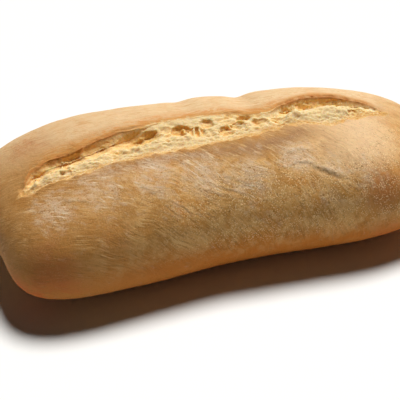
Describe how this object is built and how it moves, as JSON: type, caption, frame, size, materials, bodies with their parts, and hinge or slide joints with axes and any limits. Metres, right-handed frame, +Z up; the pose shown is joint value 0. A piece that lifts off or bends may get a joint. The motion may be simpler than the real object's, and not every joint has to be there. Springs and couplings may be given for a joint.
{
  "type": "ciabatta loaf",
  "caption": "Whole ciabatta: a low, slipper-shaped white bread loaf with rounded ends, a flat base, and a long burst in its top crust that shows torn crumb.",
  "frame": {"origin": "on the flat base, at the centre of the loaf's own box as seen from above", "axes": "+Z up from the base, +X along the loaf towards its narrower end, +Y across the loaf towards the side where the raised lip of the burst is"},
  "size_m": [0.28, 0.128, 0.0695],
  "materials": {
    "crust": null
  },
  "bodies": {
    "root": {"loaf": "crust"}
  },
  "joints": []
}
